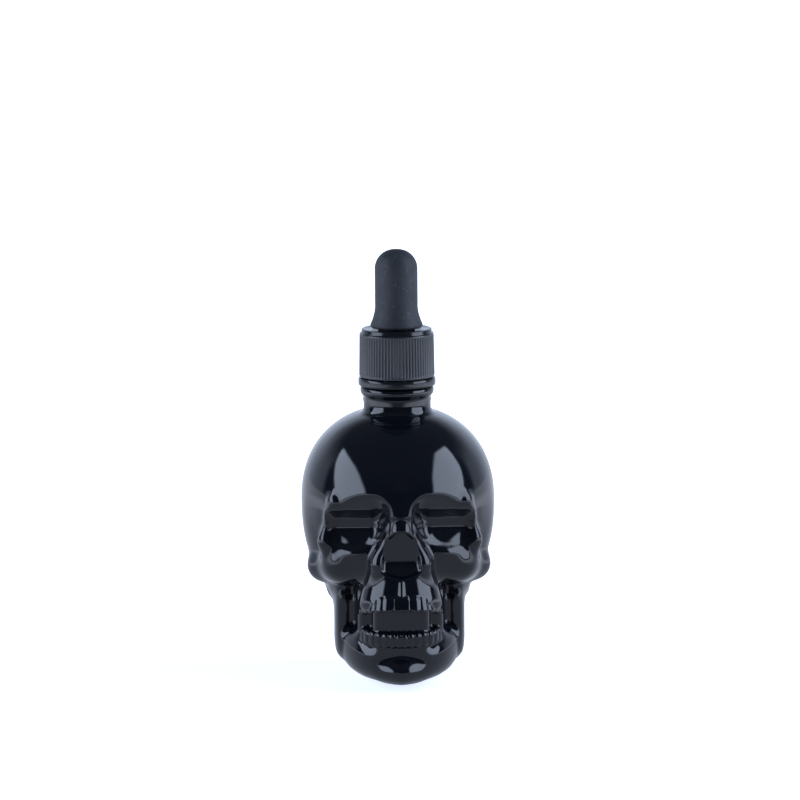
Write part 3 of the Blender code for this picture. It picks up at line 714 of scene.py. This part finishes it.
band = lathe("tamper_band", RING_PROFILE, RING_SIDES)
nibs = []
for number in range(NIBS):
    turn = 2 * math.pi * (number + FIRST_NIB) / NIBS
    nib_reach = NIB_RADIUS * MILLIMETRE
    bpy.ops.mesh.primitive_cube_add(
        size=MILLIMETRE, rotation=(0.0, 0.0, turn),
        location=(nib_reach * math.cos(turn), nib_reach * math.sin(turn), NIB_HEIGHT * MILLIMETRE))
    nib = bpy.context.object
    nib.scale = (NIB_SIZE[1], NIB_SIZE[0], NIB_SIZE[2])
    bpy.ops.object.mode_set(mode="EDIT")
    bpy.ops.mesh.bevel(offset=NIB_BEVEL * MILLIMETRE, segments=2, affect="EDGES")
    bpy.ops.object.mode_set(mode="OBJECT")
    nibs.append(nib)
for piece in [*nibs, band]:
    piece.select_set(True)
bpy.context.view_layer.objects.active = band
bpy.ops.object.join()
bpy.ops.object.shade_smooth_by_angle(angle=math.radians(35))

# Polypropylene off a polished steel ring: it stays black, with a soft gloss and a faint grain of 0.3 mm
POLISHED_COLOUR = "#15181c"
BAND_GRAIN = 0.0003
BAND_GRAIN_DEPTH = 0.0000015
BAND_PATCH = 0.004
BAND_GLOSS_RUN = (0.3, 0.7, 0.12, 0.18)
band_plastic = bpy.data.materials.new("polished_black_polypropylene")
tree = bare_tree(band_plastic)
spot = add_node(tree, "ShaderNodeTexCoord").outputs["Object"]
grain = relief(tree, noise(tree, spot, BAND_GRAIN, 2.0), BAND_GRAIN_DEPTH)
gloss = ramp(tree, noise(tree, spot, BAND_PATCH, 3.0), BAND_GLOSS_RUN)
coat(band, band_plastic, {"Base Color": linear(POLISHED_COLOUR), "IOR": 1.49},
     {"Roughness": gloss, "Normal": grain})
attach(band, "bottle")
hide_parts("tamper_ring")


# Cap: the ribbed screw cap, injection-moulded in black polypropylene. Fine ribs run down the skirt for grip,
# a smooth lip stands round the top, the bulb comes up through the hole, and a thread runs inside.
CAP_RIBS = 72
COLUMNS_PER_RIB = 8
RIB_DEPTH = 0.24
GROOVE = (0.0, 0.0, 0.25, 0.8, 1.0, 0.8, 0.25, 0.0)
SKIRT_RADIUS = 10.7
GRIP_RADIUS = 10.55
GRIP_BOTTOM, GRIP_MIDDLE, GRIP_TOP = 87.3, 93.0, 98.4
CAP_PROFILE = ((5.5, 99.0), (9.3, 99.0), (9.3, 87.1), (9.45, 86.6), (9.7, 86.5), (10.5, 86.5),
               (10.7, 86.58), (10.78, 86.8), (10.78, 87.15), (10.78, 87.5), (10.62, 98.2), (10.61, 98.5),
               (10.58, 98.8), (10.46, 98.98), (10.2, 99.05), (10.1, 99.15), (10.06, 99.35), (10.05, 99.8),
               (9.98, 100.08), (9.75, 100.2), (8.9, 100.2), (8.75, 100.15), (5.8, 100.15), (5.58, 100.1),
               (5.5, 99.95), (5.5, 99.0))
CAP_THREAD_START = 88.6
CAP_THREAD_TURNS = 2
CAP_THREAD_STEPS = 96
CAP_THREAD_RADIUS = 9.35
CAP_THREAD_THICKNESS = 0.8

cap = lathe("ribbed_cap", CAP_PROFILE, CAP_RIBS * COLUMNS_PER_RIB)
places = np.empty(len(cap.data.vertices) * 3)
cap.data.vertices.foreach_get("co", places)
places = places.reshape(-1, 3) / MILLIMETRE
turn = np.arctan2(places[:, 0], -places[:, 1]) / (2 * math.pi) * CAP_RIBS * COLUMNS_PER_RIB
column = np.rint(turn).astype(int) % COLUMNS_PER_RIB
share = np.array(GROOVE)[column]
outermost = np.hypot(places[:, 0], places[:, 1]) > GRIP_RADIUS
grip = outermost & (places[:, 2] > GRIP_BOTTOM) & (places[:, 2] < GRIP_TOP)
for depth in sorted(set(GROOVE) - {0.0}):
    bpy.ops.object.mode_set(mode="EDIT")
    bpy.ops.mesh.select_mode(type="VERT")
    bpy.ops.mesh.select_all(action="DESELECT")
    bpy.ops.object.mode_set(mode="OBJECT")
    cap.data.vertices.foreach_set("select", grip & (share == depth))
    bpy.ops.object.mode_set(mode="EDIT")
    shrink = 1.0 - RIB_DEPTH * depth / SKIRT_RADIUS
    centre = (0.0, 0.0, GRIP_MIDDLE * MILLIMETRE)
    bpy.ops.transform.resize(value=(shrink, shrink, 1.0), center_override=centre)
    bpy.ops.object.mode_set(mode="OBJECT")

# The thread inside is one ridge, half a pitch from the ridge on the glass, with its ends buried in the wall
start_turn = (CAP_THREAD_START - BEAD_TOP - THREAD_PITCH / 2) / THREAD_PITCH * 2 * math.pi
thread_reach = CAP_THREAD_RADIUS * MILLIMETRE
bpy.ops.mesh.primitive_circle_add(
    vertices=6, radius=CAP_THREAD_THICKNESS / 2 * MILLIMETRE,
    rotation=(math.pi / 2, 0.0, start_turn - math.pi / 2),
    location=(thread_reach * math.sin(start_turn), -thread_reach * math.cos(start_turn),
              CAP_THREAD_START * MILLIMETRE))
ridge = bpy.context.object
bpy.ops.object.transform_apply(location=True, rotation=True, scale=True)
screw = ridge.modifiers.new("thread", "SCREW")
screw.axis = "Z"
screw.angle = 2 * math.pi
screw.screw_offset = THREAD_PITCH * MILLIMETRE
screw.iterations = CAP_THREAD_TURNS
screw.steps = CAP_THREAD_STEPS
screw.render_steps = CAP_THREAD_STEPS
screw.use_merge_vertices = False
bpy.ops.object.modifier_apply(modifier="thread")
bpy.ops.object.mode_set(mode="EDIT")
bpy.ops.mesh.select_mode(type="EDGE")
bpy.ops.mesh.select_all(action="DESELECT")
bpy.ops.mesh.select_non_manifold()
bpy.ops.mesh.fill()
bpy.ops.mesh.select_all(action="SELECT")
bpy.ops.mesh.normals_make_consistent(inside=False)
bpy.ops.mesh.select_mode(type="VERT")
bpy.ops.object.mode_set(mode="OBJECT")
cap.select_set(True)
bpy.context.view_layer.objects.active = cap
bpy.ops.object.join()
bpy.ops.object.shade_smooth_by_angle(angle=math.radians(42))

# Moulded polypropylene is a little greasy to the eye: a broad soft gloss over a spark-eroded grain
# of 0.25 mm on the skirt, and a polished lip. The polish comes in over the run of heights given, in metres
SKIRT_COLOURS = ("#35373b", "#404246")
CAP_GRAIN = 0.00025
CAP_GRAIN_DEPTH = 0.000006
CAP_PATCH = 0.003
CAP_GLOSS_RUN = (0.3, 0.7, 0.32, 0.44)
POLISH_RUN = (0.0986, 0.099, 0.0, 1.0)
POLISHED_ROUGHNESS = 0.16
cap_plastic = bpy.data.materials.new("moulded_black_polypropylene")
tree = bare_tree(cap_plastic)
spot = add_node(tree, "ShaderNodeTexCoord").outputs["Object"]
height = add_node(tree, "ShaderNodeSeparateXYZ", links={0: spot}).outputs["Z"]
polished = ramp(tree, height, POLISH_RUN)
rubbed = noise(tree, spot, CAP_PATCH, 3.0)
grain = relief(tree, noise(tree, spot, CAP_GRAIN, 2.0), CAP_GRAIN_DEPTH)
gloss = ramp(tree, rubbed, CAP_GLOSS_RUN)
gloss = add_node(tree, "ShaderNodeMix", {3: POLISHED_ROUGHNESS}, {0: polished, 2: gloss}).outputs[0]
shade = mix_colours(tree, rubbed, *SKIRT_COLOURS)
shade = mix_colours(tree, polished, shade, POLISHED_COLOUR)
coat(cap, cap_plastic, {"IOR": 1.49}, {"Base Color": shade, "Roughness": gloss, "Normal": grain})
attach(cap, "cap")
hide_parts("cap")


# Bulb: the squeeze teat, compression-moulded in black rubber. Its flange is clamped between the cap and the
# lip of the glass, its foot flares out over the cap, and the glass tube is pushed up into its socket.
FOOT_PROFILE = ((7.5, 97.1), (7.72, 97.18), (7.8, 97.4), (7.8, 98.4), (7.72, 98.62), (7.5, 98.7),
                (5.2, 98.7), (5.2, 100.35), (5.35, 100.5), (6.8, 100.5), (7.15, 100.56), (7.38, 100.75),
                (7.48, 101.05), (7.46, 101.4))
SOCKET_PROFILE = ((3.7, 104.1), (3.7, 97.35), (3.95, 97.1))
SOCKET_SHOULDER = 105.1
FLARE_FOOT, FLARE_TOP = 101.4, 106.7
FLARE_SPREAD = 1.36
FLARE_CURVE = 1.8
FLARE_STEPS = 12
BULB_SIDE = 6.1
BULB_WALL = 1.5
BULB_SIDES = 128
DOME_BASE, DOME_TOP = 117.3, 122.9
DOME_FULLNESS = 0.9
POLE_RADIUS = 0.001


def dome_point(turn, depth):
    """Point of the dome at this turn up from its foot, this deep under its outside."""
    radius = (BULB_SIDE - depth) * math.cos(turn) ** DOME_FULLNESS
    return radius, DOME_BASE + (DOME_TOP - DOME_BASE - depth) * math.sin(turn)


inside = [(POLE_RADIUS, DOME_TOP - BULB_WALL)]
inside += [dome_point(turn, BULB_WALL) for turn in np.linspace(math.pi / 2, 0.0, 13)[1:]]
inside += [(BULB_SIDE - BULB_WALL, SOCKET_SHOULDER), *SOCKET_PROFILE]
outside = list(FOOT_PROFILE)
for step in range(1, FLARE_STEPS):
    share = step / FLARE_STEPS
    spread = FLARE_SPREAD * (1.0 - share) ** FLARE_CURVE
    outside.append((BULB_SIDE + spread, FLARE_FOOT + (FLARE_TOP - FLARE_FOOT) * share))
outside += [(BULB_SIDE, height) for height in np.linspace(FLARE_TOP, DOME_BASE, 8)]
outside += [dome_point(turn, 0.0) for turn in np.linspace(0.0, math.pi / 2, 17)[1:-1]]
outside.append((POLE_RADIUS, DOME_TOP))

bulb = lathe("rubber_bulb", [*inside, *outside], BULB_SIDES)
bpy.ops.object.shade_smooth_by_angle(angle=math.radians(40))

# Black rubber is matt, a mould's fine grain of 0.3 mm roughens it, and bloom and dust sit on it as pale
# specks
RUBBER_COLOURS = ("#1e2228", "#2c3138")
DUST_COLOUR = "#6d727b"
RUBBER_GRAIN = 0.0003
RUBBER_GRAIN_DEPTH = 0.000012
BLOOM_PATCH = 0.005
DUST_SPECK = 0.0007
DUST_RUN = (0.6, 0.75, 0.0, 0.3)
rubber = bpy.data.materials.new("moulded_black_rubber")
tree = bare_tree(rubber)
spot = add_node(tree, "ShaderNodeTexCoord").outputs["Object"]
grain = relief(tree, noise(tree, spot, RUBBER_GRAIN, 2.0), RUBBER_GRAIN_DEPTH)
specks = ramp(tree, noise(tree, spot, DUST_SPECK, 2.0), DUST_RUN)
shade = mix_colours(tree, noise(tree, spot, BLOOM_PATCH, 4.0), *RUBBER_COLOURS)
shade = mix_colours(tree, specks, shade, DUST_COLOUR)
coat(bulb, rubber, {"Roughness": 0.62, "IOR": 1.5}, {"Base Color": shade, "Normal": grain})
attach(bulb, "dropper")
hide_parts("bulb")


# Pipette: the dropper's tube, drawn from clear borosilicate glass. Its head is pushed into the bulb, and its
# end is softened in a flame and pulled out to a tip.
TUBE_RADIUS = 3.4
TUBE_BORE = 2.4
TUBE_SIDES = 64
TIP_NARROWING = 2.1
TIP_BORE_NARROWING = 1.8
DRAWN_TOP = 34.3
DRAWN_LENGTH = 18.0
DRAWN_STEPS = 12
HEAD_TOP, HEAD_EDGE = 105.3, 105.15
TIP_PROFILE = ((1.3, 16.5), (1.2, 16.32), (1.05, 16.3), (0.75, 16.3), (0.6, 16.45))


def drawn_point(radius, narrowing, step):
    """Point of the tube's wall where it is pulled out, this many steps down."""
    share = step / DRAWN_STEPS
    ease = share * share * (3 - 2 * share)
    return radius - narrowing * ease, DRAWN_TOP - DRAWN_LENGTH * share


pipette_profile = [(TUBE_RADIUS - 0.1, HEAD_TOP), (TUBE_RADIUS, HEAD_EDGE), (TUBE_RADIUS, DRAWN_TOP)]
pipette_profile += [drawn_point(TUBE_RADIUS, TIP_NARROWING, step) for step in range(1, DRAWN_STEPS)]
pipette_profile += TIP_PROFILE
upwards = range(DRAWN_STEPS - 1, 0, -1)
pipette_profile += [drawn_point(TUBE_BORE, TIP_BORE_NARROWING, step) for step in upwards]
pipette_profile += [(TUBE_BORE, DRAWN_TOP), (TUBE_BORE, HEAD_EDGE), (TUBE_BORE + 0.1, HEAD_TOP)]
pipette_profile.append(pipette_profile[0])

pipette = lathe("glass_pipette", pipette_profile, TUBE_SIDES)
bpy.ops.object.shade_smooth_by_angle(angle=math.radians(40))

# Drawn glass tube is clear and bright, with faint streaks along the draw, some 0.5 mm apart
TUBE_COLOUR = "#f6faf9"
STREAK_GAP = 0.0005
STREAK_DEPTH = 0.000002
STREAK_STRETCH = (1.0, 1.0, 0.02)
TUBE_GLOSS_RUN = (0.3, 0.7, 0.01, 0.04)
clear_glass = bpy.data.materials.new("drawn_borosilicate_glass")
tree = bare_tree(clear_glass)
spot = add_node(tree, "ShaderNodeTexCoord").outputs["Object"]
along = add_node(tree, "ShaderNodeMapping", {"Scale": STREAK_STRETCH}, {"Vector": spot}).outputs[0]
streaks = noise(tree, along, STREAK_GAP, 1.0)
gloss = ramp(tree, streaks, TUBE_GLOSS_RUN)
coat(pipette, clear_glass, {"Base Color": linear(TUBE_COLOUR), "IOR": 1.47, "Transmission Weight": 1.0},
     {"Roughness": gloss, "Normal": relief(tree, streaks, STREAK_DEPTH)})
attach(pipette, "dropper")
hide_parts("pipette")


bpy.context.view_layer.update()
